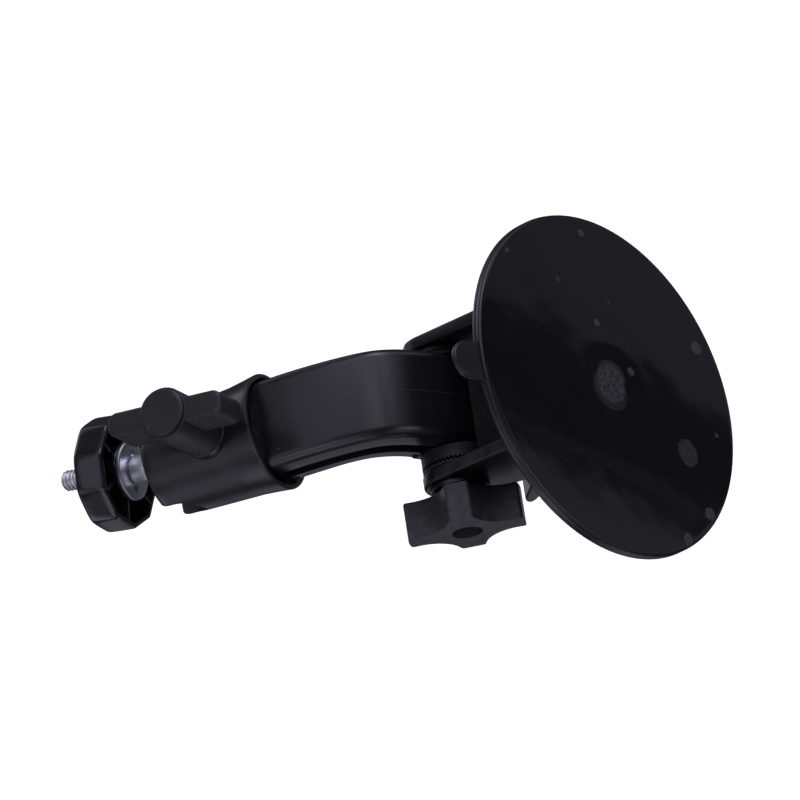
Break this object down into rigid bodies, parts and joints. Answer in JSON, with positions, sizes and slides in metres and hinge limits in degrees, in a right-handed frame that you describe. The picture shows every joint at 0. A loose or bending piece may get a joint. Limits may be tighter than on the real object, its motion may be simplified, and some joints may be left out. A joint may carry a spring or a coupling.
{
  "type": "suction cup camera stand",
  "caption": "Black suction-cup stand for a small in-car camera: cam-lock cup, toothed hinge with star knob, curved arm, ball head with wing clamp, threaded stud and lock wheel.",
  "frame": {"origin": "centre of the suction cup's sealing face", "axes": "+Z is the sealing face's outward normal, towards the glass; +Y is the arm hinge's axis towards the star knob; +X is the side the arm bulges to and the pull tab points to"},
  "size_m": [0.17, 0.108, 0.1425],
  "materials": {
    "suction_pad": "soft black PVC, high gloss",
    "cup_ring": "black moulded ring",
    "housing_bracket": "satin black ABS",
    "wear_plate": "natural acetal",
    "plunger": "turned steel",
    "lever_pin": "steel pin",
    "cup_spring": "spring wire",
    "cam_lever": "satin black ABS",
    "ear_tooth_ring": "satin black ABS with radial teeth",
    "spacer_washer": "zinc plated steel",
    "pivot_bolt": "zinc plated steel",
    "arm": "black ABS, half gloss",
    "arm_tooth_ring": "satin black ABS with radial teeth",
    "friction_washer": "black rubber",
    "pivot_washer": "zinc plated steel",
    "star_knob": "satin black ABS",
    "pivot_nut": "zinc plated steel",
    "socket_barrel": "satin black ABS",
    "ball_liner": "natural acetal",
    "seat_block": "natural acetal",
    "pressure_shoe": "turned steel",
    "clamp_screw": "zinc plated steel",
    "wing_knob": "fine matte black nylon",
    "wing_cap": "fine matte black nylon",
    "ball": "zinc plated steel",
    "ball_stud": "zinc plated steel",
    "stud_flange": "zinc plated steel",
    "lock_wheel": "black ABS, gloss",
    "wheel_nut": "zinc plated steel",
    "front_pad": "black rubber"
  },
  "bodies": {
    "base": {"suction_pad": "suction_pad", "cup_ring": "cup_ring", "housing_bracket": "housing_bracket", "wear_plate": "wear_plate", "cup_spring": "cup_spring", "ear_tooth_ring": "ear_tooth_ring", "spacer_washer": "spacer_washer", "pivot_bolt": "pivot_bolt"},
    "plunger": {"plunger": "plunger", "lever_pin": "lever_pin"},
    "lever": {"cam_lever": "cam_lever"},
    "arm": {"arm": "arm", "arm_tooth_ring": "arm_tooth_ring", "friction_washer": "friction_washer", "socket_barrel": "socket_barrel"},
    "hinge_washer": {"pivot_washer": "pivot_washer"},
    "star": {"star_knob": "star_knob", "pivot_nut": "pivot_nut"},
    "shoe": {"pressure_shoe": "pressure_shoe"},
    "wing": {"wing_knob": "wing_knob", "wing_cap": "wing_cap", "clamp_screw": "clamp_screw"},
    "block": {"seat_block": "seat_block"},
    "swivel": {"ball_liner": "ball_liner"},
    "ball": {"ball": "ball"},
    "stud": {"ball_stud": "ball_stud", "stud_flange": "stud_flange"},
    "front": {"front_pad": "front_pad"},
    "wheel": {"lock_wheel": "lock_wheel", "wheel_nut": "wheel_nut"}
  },
  "joints": [
    {"name": "plunger_slide", "type": "slide", "parent": "base", "child": "plunger", "axis": [0, 0, -1], "range_m": [0, 0.0012]},
    {"name": "cam_lever_hinge", "type": "hinge", "parent": "plunger", "child": "lever", "pos_m": [0, 0, -0.0229], "axis": [0, 1, 0], "range_deg": [0, 54]},
    {"name": "arm_hinge", "type": "hinge", "parent": "base", "child": "arm", "pos_m": [0.0318, 0, -0.036], "axis": [0, 1, 0], "range_deg": [-20, 40]},
    {"name": "hinge_washer_slide", "type": "slide", "parent": "base", "child": "hinge_washer", "axis": [0, 1, 0], "range_m": [0, 0.003]},
    {"name": "star_knob_turn", "type": "hinge", "parent": "hinge_washer", "child": "star", "pos_m": [0.0318, 0, -0.036], "axis": [0, 1, 0], "range_deg": [0, 1080]},
    {"name": "shoe_slide", "type": "slide", "parent": "arm", "child": "shoe", "axis": [0.9659, 0, 0.2588], "range_m": [0, 0.0015]},
    {"name": "wing_knob_turn", "type": "hinge", "parent": "shoe", "child": "wing", "pos_m": [0.07259, 0, -0.08668], "axis": [0.9659, 0, 0.2588], "range_deg": [0, 540]},
    {"name": "seat_block_slide", "type": "slide", "parent": "arm", "child": "block", "axis": [-0.2588, 0, 0.9659], "range_m": [0, 0.0002]},
    {"name": "ball_swivel", "type": "hinge", "parent": "arm", "child": "swivel", "pos_m": [0.07665, 0, -0.10184], "axis": [0.2588, 0, -0.9659], "range_deg": [-180, 180]},
    {"name": "ball_tilt", "type": "hinge", "parent": "swivel", "child": "ball", "pos_m": [0.07665, 0, -0.10184], "axis": [-0.9603, -0.1077, -0.2573], "range_deg": [-38, 18]},
    {"name": "stud_spin", "type": "hinge", "parent": "ball", "child": "stud", "pos_m": [0.07665, 0, -0.10184], "axis": [0.2721, -0.158, -0.9492], "range_deg": [-180, 180]},
    {"name": "front_pad_slide", "type": "slide", "parent": "stud", "child": "front", "axis": [0.2721, -0.158, -0.9492], "range_m": [0, 0.00508]},
    {"name": "lock_wheel_turn", "type": "hinge", "parent": "front", "child": "wheel", "pos_m": [0.07665, 0, -0.10184], "axis": [0.2721, -0.158, -0.9492], "range_deg": [0, 1440]}
  ],
  "couplings": [
    {"joint": "plunger_slide", "follows": "cam_lever_hinge", "m_per_rad": 0.0012732},
    {"joint": "hinge_washer_slide", "follows": "star_knob_turn", "m_per_rad": 0.00015915},
    {"joint": "shoe_slide", "follows": "wing_knob_turn", "m_per_rad": 0.00015915},
    {"joint": "seat_block_slide", "follows": "wing_knob_turn", "m_per_rad": 0.000021221},
    {"joint": "front_pad_slide", "follows": "lock_wheel_turn", "m_per_rad": 0.00020213}
  ]
}
